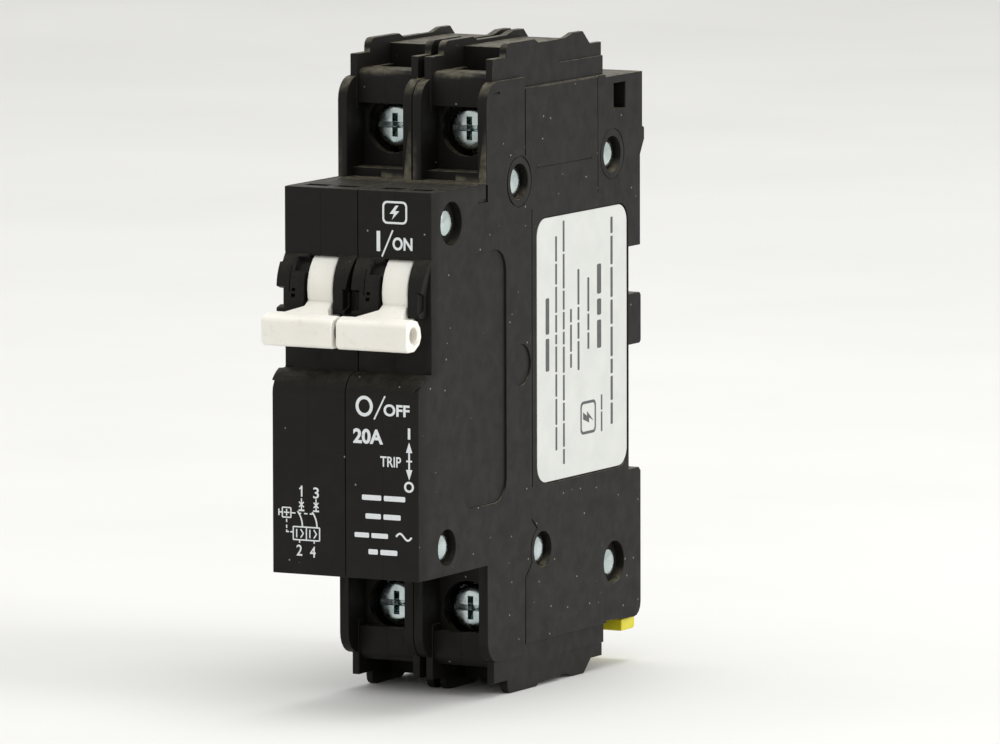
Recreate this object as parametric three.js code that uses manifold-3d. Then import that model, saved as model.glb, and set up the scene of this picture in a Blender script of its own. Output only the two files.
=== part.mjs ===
// Two-pole miniature circuit breaker for a 35 mm rail: two 13 mm poles riveted side by side.
// Units are millimetres. +X is to the right, +Y into the case away from the handles, +Z up.
// Depths below are counted from the front of the lower nose; one group moves them to the origin,
// which lies under the middle of the whole breaker at the height of its lowest edges.

import * as THREE from 'three';
import { mergeVertices } from 'three/addons/utils/BufferGeometryUtils.js';
import Module from 'manifold-3d';

const wasm = await Module();
wasm.setup();

// ---------------------------------------------------------------- driving dimensions
const poleWidth = 13;
const bodyHeight = 100.7;
const noseHeight = 59;
const bodyDepth = 73.8;
const handleReach = 3.5;            // how far the handles stand in front of the lower nose
const wall = 1.6;                   // thickness of the case's side walls
const seamGap = 0.05;               // half of the gap left at every joint between mouldings
const rivetHeadRadius = 2.1;
const railHeight = 35.1;            // the slot for a 35 mm rail

// ---------------------------------------------------------------- places worked out from them
const middleZ = bodyHeight / 2;
const noseBottom = middleZ - noseHeight / 2;
const noseTop = middleZ + noseHeight / 2;
const upperFace = 4.2;              // depth of the upper nose block's face
const shoulder = 21.5;              // depth where the nose meets the main body
const guardFace = 1.9;              // depth of the guards beside the handle
const pivot = [8.9, 64.4];          // handle pivot, depth and height
const guardRadius = pivot[0] - guardFace;
const drumRadius = 6.5;
const windowLeft = 4.75;            // handle window in a pole, from its left side
const windowRight = 9.85;
const halfDepth = (bodyDepth + handleReach) / 2;
const partWidth = poleWidth / 2 - seamGap;
const mainBack = 68.5;              // depth of the face that seats on the rail
const slotBottom = 30.7;
const slotTop = slotBottom + railHeight;
const shieldInset = 0.55;
const shieldThickness = 1.2;
const screwHeight = 87.5;
const screwBore = 4.3;
const stripDepth = 35.4;            // front of the terminal strips
const stripThickness = 1.1;
const stripTop = 91.1;
const tripAxis = [33, 46];          // the trip bar's axis, depth and height

const rivets = [
  { at: [10.15, 74.7], bore: 3.35 },
  { at: [32.1, 79.2], bore: 2.8 },
  { at: [62.9, 80.9], bore: 2.8 },
  { at: [8.5, 25.2], bore: 2.8 },
  { at: [39.6, 21.4], bore: 2.8 },
  { at: [63.4, 16.6], bore: 3.35 },
];

// ---------------------------------------------------------------- colours
const colour = {
  case: { color: 0x26261f, roughness: 0.55, metalness: 0 },
  handle: { color: 0xf2f0e8, roughness: 0.4, metalness: 0 },
  label: { color: 0xeaebe4, roughness: 0.5, metalness: 0 },
  zinc: { color: 0xb9c2c0, roughness: 0.3, metalness: 1 },
  steel: { color: 0x8f9194, roughness: 0.35, metalness: 1 },
  copper: { color: 0xb87045, roughness: 0.35, metalness: 1 },
  brass: { color: 0xc9a95c, roughness: 0.3, metalness: 1 },
  latch: { color: 0xd9cf24, roughness: 0.5, metalness: 0 },
  trip: { color: 0x7d2a22, roughness: 0.5, metalness: 0 },
};

// ---------------------------------------------------------------- shape helpers
const toSolid = (geometry) => {
  const bare = geometry.clone();
  bare.deleteAttribute('normal');
  bare.deleteAttribute('uv');
  const merged = mergeVertices(bare, 1e-4);
  const mesh = new wasm.Mesh({
    numProp: 3,
    vertProperties: new Float32Array(merged.attributes.position.array),
    triVerts: new Uint32Array(merged.index.array),
  });
  return new wasm.Manifold(mesh);
};

const toGeometry = (solid) => {
  const mesh = solid.getMesh();
  const geometry = new THREE.BufferGeometry();
  geometry.setAttribute('position', new THREE.BufferAttribute(mesh.vertProperties, 3));
  geometry.setIndex(new THREE.BufferAttribute(mesh.triVerts, 1));
  geometry.computeVertexNormals();
  return geometry;
};

const join = (...solids) => solids.reduce((whole, next) => whole.add(next));
const cut = (solid, ...tools) => tools.reduce((whole, next) => whole.subtract(next), solid);

// points on an arc in the depth-height plane, angles in degrees from the +depth direction
const arc = (centre, radius, from, to, steps = 8) => {
  const points = [];
  for (let i = 0; i <= steps; i += 1) {
    const angle = THREE.MathUtils.degToRad(from + ((to - from) * i) / steps);
    points.push([centre[0] + radius * Math.cos(angle), centre[1] + radius * Math.sin(angle)]);
  }
  return points;
};

const upsideDown = (points) => points.map(([y, z]) => [y, bodyHeight - z]);

const shapeOf = (points) => new THREE.Shape(points.map(([u, v]) => new THREE.Vector2(u, v)));

// a depth-height outline made solid from x0 to x1
const slab = (points, x0, x1) => {
  const geometry = new THREE.ExtrudeGeometry(shapeOf(points), { depth: x1 - x0, bevelEnabled: false });
  const axes = new THREE.Matrix4().makeBasis(
    new THREE.Vector3(0, 1, 0),
    new THREE.Vector3(0, 0, 1),
    new THREE.Vector3(1, 0, 0),
  );
  geometry.applyMatrix4(axes);
  geometry.translate(x0, 0, 0);
  return toSolid(geometry);
};

const block = (x0, x1, y0, y1, z0, z1) => {
  const geometry = new THREE.BoxGeometry(x1 - x0, y1 - y0, z1 - z0);
  geometry.translate((x0 + x1) / 2, (y0 + y1) / 2, (z0 + z1) / 2);
  return toSolid(geometry);
};

// a round bar along X at a depth and height
const barX = (radius, x0, x1, [y, z], segments = 24) => {
  const geometry = new THREE.CylinderGeometry(radius, radius, x1 - x0, segments);
  geometry.rotateZ(Math.PI / 2);
  geometry.translate((x0 + x1) / 2, y, z);
  return toSolid(geometry);
};

// a round bar along Y, into the case
const barY = (radius, y0, y1, x, z, segments = 24) => {
  const geometry = new THREE.CylinderGeometry(radius, radius, y1 - y0, segments);
  geometry.translate(0, (y0 + y1) / 2, 0);
  geometry.translate(x, 0, z);
  return toSolid(geometry);
};

// a turned piece: profile points are [radius, height along the axis]
const turned = (profile, segments = 24) => {
  const points = profile.map(([r, h]) => new THREE.Vector2(r, h));
  return new THREE.LatheGeometry(points, segments);
};

// the outline of a strip of even width that follows a line with square corners
const ribbon = (line, width) => {
  const sides = [[], []];
  line.forEach((point, i) => {
    const before = line[Math.max(i - 1, 0)];
    const after = line[Math.min(i + 1, line.length - 1)];
    const into = new THREE.Vector2(point[0] - before[0], point[1] - before[1]).normalize();
    const out = new THREE.Vector2(after[0] - point[0], after[1] - point[1]).normalize();
    const along = into.clone().add(out).normalize();
    const reach = width / 2 / Math.max(along.dot(into.lengthSq() ? into : out), 0.5);
    sides[0].push([point[0] - along.y * reach, point[1] + along.x * reach]);
    sides[1].unshift([point[0] + along.y * reach, point[1] - along.x * reach]);
  });
  return [...sides[0], ...sides[1]];
};

const turnPoint = ([y, z], [cy, cz], degrees) => {
  const angle = THREE.MathUtils.degToRad(degrees);
  const dy = y - cy;
  const dz = z - cz;
  return [
    cy + dy * Math.cos(angle) - dz * Math.sin(angle),
    cz + dy * Math.sin(angle) + dz * Math.cos(angle),
  ];
};

// ---------------------------------------------------------------- the breaker's group
const breaker = new THREE.Group();
breaker.name = 'two_pole_breaker';
const caseFrame = new THREE.Group();
caseFrame.position.y = handleReach - halfDepth;
breaker.add(caseFrame);

const addPiece = (name, geometry, finish, x = 0) => {
  const mesh = new THREE.Mesh(geometry, new THREE.MeshStandardMaterial(finish));
  mesh.name = name;
  mesh.position.x = x;
  caseFrame.add(mesh);
};

const poles = [
  { name: 'left', x: -poleWidth },
  { name: 'right', x: 0 },
];

// ---------------------------------------------------------------- case outlines
// the lower nose curves back to the upper face; the guards bulge forward beside the handle
const ledge = [
  [0, 48.6],
  ...arc([3.6, 48.6], 3.6, 165, 105, 4),
  [upperFace, 52.1],
];
const guardBulge = [
  [upperFace, 60.8],
  [guardFace, 60.8],
  [guardFace, 64.4],
  ...arc(pivot, guardRadius, 171, 131, 5),
];
const guardNotch = [
  [upperFace, 60.8],
  [guardFace, 60.8],
  [guardFace, 61.4],
  [3.4, 61.9],
  [3.4, 64.2],
  [guardFace, 64.7],
  ...arc(pivot, guardRadius, 171, 131, 5),
];
const nose = (guard) => [
  [0, noseBottom],
  ...ledge,
  ...guard,
  [upperFace, 70],
  [upperFace, noseTop],
];

// the rear: hook leg, middle tab and lower foot around the slot for the rail
const rear = [
  [73.15, 93.1],
  [73.15, 84.5],
  [bodyDepth, 84.2],
  [bodyDepth, 82.4],
  [72.4, 80],
  [72.4, slotTop],
  [mainBack, slotTop],
  [mainBack, 58.35],
  [72.2, 58.35],
  [72.6, 57.9],
  [72.6, 50.7],
  [72.2, 50.3],
  [mainBack, 50.3],
  [mainBack, slotBottom],
  [71.9, slotBottom],
  [72.5, 30.1],
  [72.5, 9.5],
  ...arc([70.3, 9.3], 2.2, 0, -90, 4),
];

const cheekTop = [
  [shoulder, noseTop],
  [shoulder, 91.7],
  ...arc([25, 91.7], 3.5, 180, 90, 6),
  [34, 95.2],
  [34, 93.5],
  [60.9, 93.5],
  [60.9, 93.1],
];
const wallOutline = [
  ...nose(guardNotch),
  ...cheekTop,
  ...rear,
  ...upsideDown(cheekTop).reverse(),
  [shoulder, noseBottom],
];

// between the side walls: sill, screw wall, bridge block, wire channel and deck
const terminalTop = [
  [23.5, noseTop],
  [23.5, 81.2],
  [27, 81.2],
  [27, 91],
  [24.9, 91],
  [24.9, 94.8],
  ...arc([26.4, 94.8], 1.5, 180, 90, 3),
  [30, 96.3],
  [35.2, 96.3],
  [35.2, 99.5],
  [54.6, 99.5],
  [56.8, 97.6],
  [60.9, 97.6],
  [60.9, 93.1],
];
const coreOutline = [
  ...nose(guardBulge),
  ...terminalTop,
  ...rear,
  ...upsideDown(terminalTop).reverse(),
];

// thin stepped shields that keep the wires of neighbouring poles apart
const shieldTop = [
  [24.5, 90],
  [24.5, 98.6],
  [28.9, 98.6],
  [28.9, 99.4],
  ...arc([30.2, 99.4], 1.3, 180, 90, 3),
  [38.3, bodyHeight],
  [39.6, 100.1],
  [49, 100.1],
  [51.5, bodyHeight],
  [54.8, bodyHeight],
  [57.2, 98.6],
  [60.9, 98.6],
  [60.9, 90],
];

// inside: the mechanism's chamber and the two terminal chambers
const chamber = [
  [2, 22.8],
  [2, 48.2],
  [6.2, 51.6],
  [6.2, 78],
  [36.8, 78],
  [36.8, 91.4],
  [61.2, 91.4],
  [61.2, 85.6],
  [66.7, 85.6],
  [66.7, 9.3],
  [36.8, 9.3],
  [36.8, 22.8],
];
const terminalChamber = [
  [28.4, 82.2],
  [28.4, 91.4],
  [30, 91.4],
  [30, 100],
  [35.2, 100],
  [35.2, 91.4],
  [37, 91.4],
  [37, 77],
  [35.2, 77],
  [35.2, 82.2],
];
const hook = [
  [70, slotTop + 1],
  [70, slotTop - 1.5],
  [71.2, slotTop - 1.5],
  [72.4, slotTop],
  [72.4, slotTop + 1],
];

// the seat on the rail is cut back under the hook and beside the latch
const seatReliefs = [
  [[68, slotTop - 1.8], [68, slotTop - 0.02], [69, slotTop - 0.02], [69, slotTop - 1.8]],
  [[68, slotBottom - 0.5], [68, slotBottom + 2.4], [69.7, slotBottom + 2.4], [69.7, slotBottom - 0.5]],
];

const panelRecess = 0.3;
const roundedBox = (y0, y1, z0, z1, r) => [
  ...arc([y0 + r, z0 + r], r, 180, 270, 4),
  ...arc([y1 - r, z0 + r], r, 270, 360, 4),
  ...arc([y1 - r, z1 - r], r, 0, 90, 4),
  ...arc([y0 + r, z1 - r], r, 90, 180, 4),
];
const labelBox = [37.8, 68.2, 31.4, 73];

// what is cut out of the nose in front of the drum, so that the lever can swing
const windowOutline = [[-1, 57.2], [-1, 70.1], [upperFace, 70.1], [upperFace, 68.4], [7, 68.4], [7, 57.2]];

// the shallow step along the outer top edge of the case
const topInset = [[46.5, 96.5], [46.5, 101], [62, 101], [62, 96.5]];

// ---------------------------------------------------------------- case halves
// side 'left' lies at the pole's left, its outer face at distance 0; 'right' mirrors it
const caseHalf = (side, isOuter) => {
  const range = (w0, w1) => (side === 'left' ? [w0, w1] : [poleWidth - w1, poleWidth - w0]);
  const outerFace = isOuter ? 0 : seamGap;
  const windowStart = side === 'left' ? windowLeft : poleWidth - windowRight;
  const past = poleWidth / 2 + 1;
  const shieldOuter = shieldInset + shieldThickness;

  let body = join(
    slab(wallOutline, ...range(outerFace, wall)),
    slab(coreOutline, ...range(wall - 0.2, partWidth)),
    slab(shieldTop, ...range(shieldInset, shieldOuter)),
    slab(upsideDown(shieldTop), ...range(shieldInset, shieldOuter)),
  );
  body = cut(
    body,
    slab(chamber, ...range(wall, past)),
    slab(terminalChamber, ...range(2.4, past)),
    slab(upsideDown(terminalChamber), ...range(2.4, past)),
    barX(drumRadius + 0.35, ...range(windowStart, past), pivot, 28),
    slab(windowOutline, ...range(windowStart, past)),
    barY(screwBore, 26, 29, poleWidth / 2, screwHeight, 28),
    barY(screwBore, 26, 29, poleWidth / 2, bodyHeight - screwHeight, 28),
    slab([[69.6, 0], [69.6, 32], [71.8, 32], [71.8, 0]], ...range(1.9, past)),
    slab([[63.5, 87.8], [67.4, 87.8], [67.4, 91.9], [63.5, 91.9]], ...range(-1, past)),
    block(...range(2, 5.9), 7, 9.4, noseTop - 1.2, noseTop + 1),
    ...seatReliefs.map((outline) => slab(outline, ...range(1.9, past))),
  );

  // hollow guards: a curved shell is left in front of the link and the springs
  const guardShell = [
    ...arc(pivot, guardRadius, 171, 131, 5),
    [upperFace + 1, 70],
    [upperFace + 3.5, 70.2],
    ...arc(pivot, guardRadius - 1.7, 105, 180, 6),
    [pivot[0] - guardRadius + 1.7, 60.8],
    [guardFace, 60.8],
    [guardFace, 64.4],
  ];
  const guard = slab(guardShell, ...range(wall - 0.2, windowStart));

  // rivet bosses, the rail hook, and the pivot seats for the handle and arm pins
  const bosses = rivets.map(({ at }) => barX(2.6, ...range(wall - 0.2, partWidth), at, 14));
  body = join(body, guard, slab(hook, ...range(2.4, partWidth)), ...bosses);

  body = cut(body, ...rivets.map(({ at }) => barX(1.65, ...range(-1, past), at, 12)));
  if (isOuter) {
    body = cut(
      body,
      ...rivets.map(({ at, bore }) => barX(bore, ...range(-1, 1.35), at, 28)),
      slab(roundedBox(13.1, 27.8, 30.3, 69.4, 3.5), ...range(-1, panelRecess)),
      ...(side === 'right' ? [slab(roundedBox(...labelBox, 3), ...range(-1, panelRecess))] : []),
      slab(topInset, ...range(-1, shieldInset + 0.3)),
      slab(upsideDown(topInset), ...range(-1, shieldInset + 0.3)),
    );
    body = cut(body, barX(3.25, ...range(-1, 0.25), [32.5, 50.8], 28));
  } else {
    body = cut(body, barX(2, ...range(-1, wall + 1), tripAxis, 12));
  }
  return body;
};

const addCase = () => {
  for (const pole of poles) {
    for (const side of ['left', 'right']) {
      const isOuter = pole.name === side;
      addPiece(`case_${pole.name}_pole_${side}_half`, toGeometry(caseHalf(side, isOuter)), colour.case, pole.x);
    }
  }
};

// ---------------------------------------------------------------- rivets and label
const addRivets = () => {
  const reach = poleWidth - 0.65;
  const head = 0.7;
  const profile = [
    [0, -reach],
    [1.3, -reach],
    [1.9, -reach + 0.25],
    [rivetHeadRadius, -reach + 0.5],
    [rivetHeadRadius, -reach + head - 0.02],
    [1.45, -reach + head - 0.02],
    [1.45, reach - head + 0.02],
    [rivetHeadRadius, reach - head + 0.02],
    [rivetHeadRadius, reach - 0.5],
    [1.9, reach - 0.25],
    [1.3, reach],
    [0, reach],
  ];
  rivets.forEach(({ at }, i) => {
    const geometry = turned(profile, 14);
    geometry.rotateZ(-Math.PI / 2);
    geometry.translate(0, at[0], at[1]);
    addPiece(`rivet_${i + 1}`, geometry, colour.zinc);
  });
};

const addLabel = () => {
  const [y0, y1, z0, z1] = labelBox;
  const edge = 0.25;
  const outline = roundedBox(y0 + edge, y1 - edge, z0 + edge, z1 - edge, 2.8);
  const geometry = toGeometry(slab(outline, poleWidth - 0.27, poleWidth - 0.12));
  addPiece('rating_label', geometry, colour.label);
};

// ---------------------------------------------------------------- handle and its mechanism
const handleAngle = 30.5;           // the lever points this far below level when off
const barCentre = [-1.1, 58.5];
const crankRadius = 4.4;
const neckThickness = 3.4;
const armPivot = [26, 54];
const armTail = [15.9, 56.3];

const addHandle = (pole) => {
  const leverLength = Math.hypot(pivot[0] - barCentre[0], pivot[1] - barCentre[1]);
  const drum = barX(drumRadius, 5.05, 9.55, pivot, 32);

  // the crossbar's section: flat to the front, rounded behind
  const section = [
    [-handleReach, 56.9],
    [-handleReach, 60],
    [-3.1, 60.6],
    [-1.7, 61.1],
    [0.1, 60.7],
    [1, 59.6],
    [1.3, 58.2],
    [0.7, 57],
    [-0.9, 56.1],
    [-2.7, 56.1],
    [-3.2, 56.3],
  ];
  const bar = slab(section, 0.3, 12.65);

  // the neck, drawn straight ahead of the pivot and turned down with the lever; it flares at the bar
  const neckShape = shapeOf([
    [-2, 5.05],
    [leverLength - 4, 5.05],
    [leverLength - 1.6, 1.4],
    [leverLength - 1.6, 10.6],
    [leverLength - 3.4, 9.55],
    [-2, 9.55],
  ]);
  const neckGeometry = new THREE.ExtrudeGeometry(neckShape, { depth: neckThickness, bevelEnabled: false });
  neckGeometry.applyMatrix4(new THREE.Matrix4().makeBasis(
    new THREE.Vector3(0, -1, 0),
    new THREE.Vector3(1, 0, 0),
    new THREE.Vector3(0, 0, 1),
  ));
  neckGeometry.translate(0, 0, -neckThickness / 2);
  neckGeometry.rotateX(THREE.MathUtils.degToRad(handleAngle));
  neckGeometry.translate(0, pivot[0], pivot[1]);
  const neck = toSolid(neckGeometry);

  const crank = arc(pivot, crankRadius, handleAngle, handleAngle, 1)[0];
  const crankPin = barX(0.8, 3.2, 5.2, crank, 12);
  const handle = cut(
    join(drum, neck, bar, crankPin),
    barX(1.15, 0, poleWidth, pivot, 20),
    barX(1.25, -1, poleWidth + 1, [-1.2, 58.6], 20),
  );
  addPiece(`handle_${pole.name}`, toGeometry(handle), colour.handle, pole.x);

  addPiece(`handle_pivot_pin_${pole.name}`, toGeometry(barX(0.95, 1.8, 11.2, pivot, 10)), colour.steel, pole.x);
  addPiece(`handle_spring_${pole.name}`, coilRing(1.4, 2.6, 9.9, 11.1, pivot, 2), colour.steel, pole.x);
  addLink(pole, crank);
};

// a short torsion spring drawn as touching turns round a pin along X
const coilRing = (inner, outer, x0, x1, [y, z], turns) => {
  const wire = (x1 - x0) / turns;
  const profile = [[inner, x0]];
  for (let i = 0; i < turns; i += 1) {
    profile.push([outer - wire / 3, x0 + i * wire]);
    profile.push([outer, x0 + (i + 0.3) * wire]);
    profile.push([outer, x0 + (i + 0.7) * wire]);
    profile.push([outer - wire / 3, x0 + (i + 1) * wire - 0.02]);
  }
  profile.push([inner, x1 - 0.02]);
  profile.push([inner, x0]);
  const geometry = turned(profile, 12);
  geometry.rotateZ(-Math.PI / 2);
  geometry.translate(0, y, z);
  return geometry;
};

// the link hangs from the handle's crank pin and drives the contact arm's tail pin
const addLink = (pole, crank) => {
  const foot = [crank[0] + 2.78, crank[1] - 10.33];
  const plate = join(
    barX(1.9, 3.6, 4.5, crank, 14),
    barX(2.3, 3.6, 4.5, foot, 14),
    slab(ribbon([crank, foot], 2.6), 3.6, 4.5),
  );
  const link = cut(plate, barX(1.05, 3, 5, crank, 10), barX(1.4, 3, 5, foot, 10));
  addPiece(`toggle_link_${pole.name}`, toGeometry(link), colour.steel, pole.x);
};

const addTiePin = () => {
  addPiece('handle_tie_pin', toGeometry(barX(1, -8.5, 8.5, [-1.2, 58.6], 16)), colour.steel);
};

// ---------------------------------------------------------------- current path of one pole
const armReach = 21;
const armOffAngle = 16;

const addContactArm = (pole) => {
  const tip = arc(armPivot, armReach, armOffAngle, armOffAngle, 1)[0];
  const padCentre = [tip[0] - 1.2, tip[1] + 1.6];
  const padTilt = armOffAngle + 9;   // lies flat on the fixed contact once the arm has swung up
  const pad = [[-1.5, -0.9], [1.5, -0.9], [1.5, 0.6], [-1.5, 0.6]]
    .map(([y, z]) => turnPoint([padCentre[0] + y, padCentre[1] + z], padCentre, padTilt));
  const arm = cut(
    join(
      slab(ribbon([armTail, armPivot, tip], 2.8), 5.4, 7.8),
      barX(2.3, 5.4, 7.8, armPivot, 14),
      barX(1.7, 5.4, 7.8, armTail, 12),
      barX(0.8, 3.3, 5.6, armTail, 12),
      slab(pad, 5.2, 8),
    ),
    barX(1.05, 0, poleWidth, armPivot, 10),
  );
  addPiece(`contact_arm_${pole.name}`, toGeometry(arm), colour.copper, pole.x);
  addPiece(`arm_pivot_pin_${pole.name}`, toGeometry(barX(0.85, 1.8, 11.2, armPivot, 10)), colour.steel, pole.x);
  addPiece(`contact_spring_${pole.name}`, coilRing(1.2, 2.5, 8.4, 10.6, armPivot, 3), colour.steel, pole.x);
};

// the line strip runs from the upper clamp to the fixed contact, the load strip from the coil down
const addStrips = (pole) => {
  const middle = stripDepth + stripThickness / 2;
  const hole = (z) => barY(2.25, stripDepth - 1, stripDepth + 2, poleWidth / 2, z, 14);
  const lineStrip = cut(
    join(
      slab(ribbon([[middle, stripTop], [middle, 71.6], [46, 71.6]], stripThickness), 3, 10),
      slab([[40, 71.3], [40, 70.4], [43.4, 70.4], [43.4, 71.3]], 5, 8.2),
    ),
    hole(screwHeight),
  );
  addPiece(`line_terminal_${pole.name}`, toGeometry(lineStrip), colour.brass, pole.x);
  const low = bodyHeight - stripTop;
  const loadStrip = cut(
    slab(ribbon([[middle, low], [middle, 28], [27.3, 28]], stripThickness), 3, 10),
    hole(bodyHeight - screwHeight),
  );
  addPiece(`load_terminal_${pole.name}`, toGeometry(loadStrip), colour.brass, pole.x);
};

const addScrewsAndClamps = (pole) => {
  const headFront = 28;
  const headBack = 30.2;
  const centre = poleWidth / 2;
  for (const [end, z] of [['line', screwHeight], ['load', bodyHeight - screwHeight]]) {
    const profile = [
      [0, headFront],
      [3.1, headFront],
      [3.5, headFront + 0.4],
      [3.5, headBack],
      [1.95, headBack],
      [1.95, 39.4],
      [1.5, 40],
      [0, 40],
    ];
    const geometry = turned(profile, 20);
    geometry.translate(centre, 0, z);
    const recess = 1.3;
    const screw = cut(
      toSolid(geometry),
      block(centre - 3.6, centre + 3.6, headFront - 1, headFront + recess, z - 0.45, z + 0.45),
      block(centre - 0.5, centre + 0.5, headFront - 1, headFront + recess, z - 2, z + 2),
    );
    addPiece(`${end}_screw_${pole.name}`, toGeometry(screw), colour.zinc, pole.x);
    const plate = cut(
      block(3.3, 9.7, headBack + 0.1, headBack + 1.3, z - 3.3, z + 3.3),
      barY(2.15, headBack - 1, headBack + 3, centre, z, 14),
    );
    addPiece(`${end}_clamp_${pole.name}`, toGeometry(plate), colour.zinc, pole.x);
  }
};

// ---------------------------------------------------------------- overload trip of one pole
const coilDepth = 18;
const coilBottom = 25.7;
const coilTop = 42.8;
const poleFace = 44.6;
const armatureHinge = [25.5, 45.2];

const addTripUnit = (pole) => {
  const centre = poleWidth / 2;
  const upright = (profile, segments) => {
    const geometry = turned(profile, segments);
    geometry.rotateX(Math.PI / 2);
    geometry.translate(centre, coilDepth, 0);
    return geometry;
  };

  // the winding: a hollow drum with shallow ridges for its layers of wire
  const turnsShown = 4;
  const pitch = (coilTop - coilBottom) / turnsShown;
  const winding = [[2.65, coilBottom]];
  for (let i = 0; i < turnsShown; i += 1) {
    winding.push([4.2, coilBottom + i * pitch]);
    winding.push([4.5, coilBottom + (i + 0.35) * pitch]);
    winding.push([4.5, coilBottom + (i + 0.65) * pitch]);
  }
  winding.push([4.2, coilTop], [2.65, coilTop], [2.65, coilBottom]);
  addPiece(`trip_coil_${pole.name}`, upright(winding, 16), colour.copper, pole.x);

  const tube = [
    [0, 25.1],
    [2.35, 25.1],
    [2.35, poleFace - 1.3],
    [3.2, poleFace - 1.3],
    [3.2, poleFace],
    [0, poleFace],
  ];
  addPiece(`delay_tube_${pole.name}`, upright(tube, 16), colour.brass, pole.x);

  const yoke = ribbon([[13.4, 24.2], [25.35, 24.2], [25.35, 44.2]], 1.3);
  addPiece(`magnet_yoke_${pole.name}`, toGeometry(slab(yoke, 3, 8.8)), colour.steel, pole.x);

  // the armature rests tilted up from the pole face, its tail behind the hinge
  const tilt = -8;
  const plate = [[12.2, 45.3], [28.8, 45.3], [28.8, 46.4], [12.2, 46.4]];
  const armature = slab(plate.map((point) => turnPoint(point, armatureHinge, tilt)), 3.6, 9);
  addPiece(`armature_${pole.name}`, toGeometry(armature), colour.steel, pole.x);

  const spring = [[0, 34]];
  for (let i = 0; i < 5; i += 1) {
    spring.push([1.0, 34 + i * 1.9]);
    spring.push([1.25, 34.6 + i * 1.9]);
    spring.push([1.25, 35.3 + i * 1.9]);
  }
  spring.push([1.0, 43.5], [0, 43.5]);
  const springGeometry = turned(spring, 8);
  springGeometry.rotateX(Math.PI / 2);
  springGeometry.translate(centre, 27.6, 0);
  addPiece(`armature_spring_${pole.name}`, springGeometry, colour.steel, pole.x);

  // flexible braid from the winding to the contact arm
  const route = new THREE.CatmullRomCurve3([
    new THREE.Vector3(10.3, 21.4, 38.5),
    new THREE.Vector3(10.4, 23.6, 41),
    new THREE.Vector3(10.4, 26.6, 44.8),
    new THREE.Vector3(10, 29.2, 49.6),
    new THREE.Vector3(9.2, 30.8, 54.6),
  ]);
  const ring = new THREE.Shape();
  ring.absarc(0, 0, 0.7, 0, Math.PI * 2);
  const braid = new THREE.ExtrudeGeometry(ring, { steps: 14, extrudePath: route, curveSegments: 4, bevelEnabled: false });
  addPiece(`flexible_braid_${pole.name}`, braid, colour.copper, pole.x);
};

// ---------------------------------------------------------------- arc chute of one pole
const addArcChute = (pole) => {
  const bottom = 51;
  const plates = 8;
  const pitch = 2.8;
  const height = plates * pitch;
  const sides = [
    block(2.1, 2.9, 48.5, 62, bottom - 0.6, bottom + height - 1.2),
    block(10.1, 10.9, 48.5, 62, bottom - 0.6, bottom + height - 1.2),
  ];
  const stack = [];
  for (let i = 0; i < plates; i += 1) {
    const z = bottom + i * pitch;
    const mouth = [[49, 2.8], [49, 4.4], [53, 6.5], [49, 8.6], [49, 10.2], [61.4, 10.2], [61.4, 2.8]];
    const geometry = new THREE.ExtrudeGeometry(shapeOf(mouth), { depth: 1, bevelEnabled: false });
    geometry.applyMatrix4(new THREE.Matrix4().makeBasis(
      new THREE.Vector3(0, 1, 0),
      new THREE.Vector3(-1, 0, 0),
      new THREE.Vector3(0, 0, 1),
    ));
    geometry.translate(poleWidth, 0, z);
    stack.push(toSolid(geometry));
  }
  addPiece(`arc_chute_${pole.name}`, toGeometry(join(...sides, ...stack)), colour.steel, pole.x);
};

// ---------------------------------------------------------------- shared trip bar and rail latches
const addTripBar = () => {
  const rod = barX(1.2, -11.2, 11.2, tripAxis, 20);
  const paddle = (x) => slab([[30, 46.9], [33, 46], [34.4, 46.3], [30, 47.9]], x + 5, x + 8);
  addPiece('trip_bar', toGeometry(join(rod, ...poles.map(({ x }) => paddle(x)))), colour.trip);
};

const addLatch = (pole) => {
  const stem = slab([[69.8, 5.6], [69.8, 32.2], [70.2, 32.6], [70.7, 32.6], [71.6, 31], [71.6, 5.6]], 2.1, 10.9);
  const foot = slab([[68, 5], [68, 6.9], [72.5, 6.9], [72.5, 5.4], [72.1, 5]], 1.2, 11.9);
  addPiece(`rail_latch_${pole.name}`, toGeometry(join(stem, foot)), colour.latch, pole.x);
};

// ---------------------------------------------------------------- assembly
addCase();
addRivets();
addLabel();
addTiePin();
addTripBar();
for (const pole of poles) {
  addHandle(pole);
  addContactArm(pole);
  addStrips(pole);
  addScrewsAndClamps(pole);
  addTripUnit(pole);
  addArcChute(pole);
  addLatch(pole);
}

export default breaker;
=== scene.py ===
# Looks of the two pole circuit breaker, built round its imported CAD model.
# Sizes are in millimetres and turned into metres by MM. Depth is counted from the front of the
# lower nose into the case, height from the surface that the breaker stands on.

import math
import random

import bmesh
import bpy
from mathutils import Matrix, Vector


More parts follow.
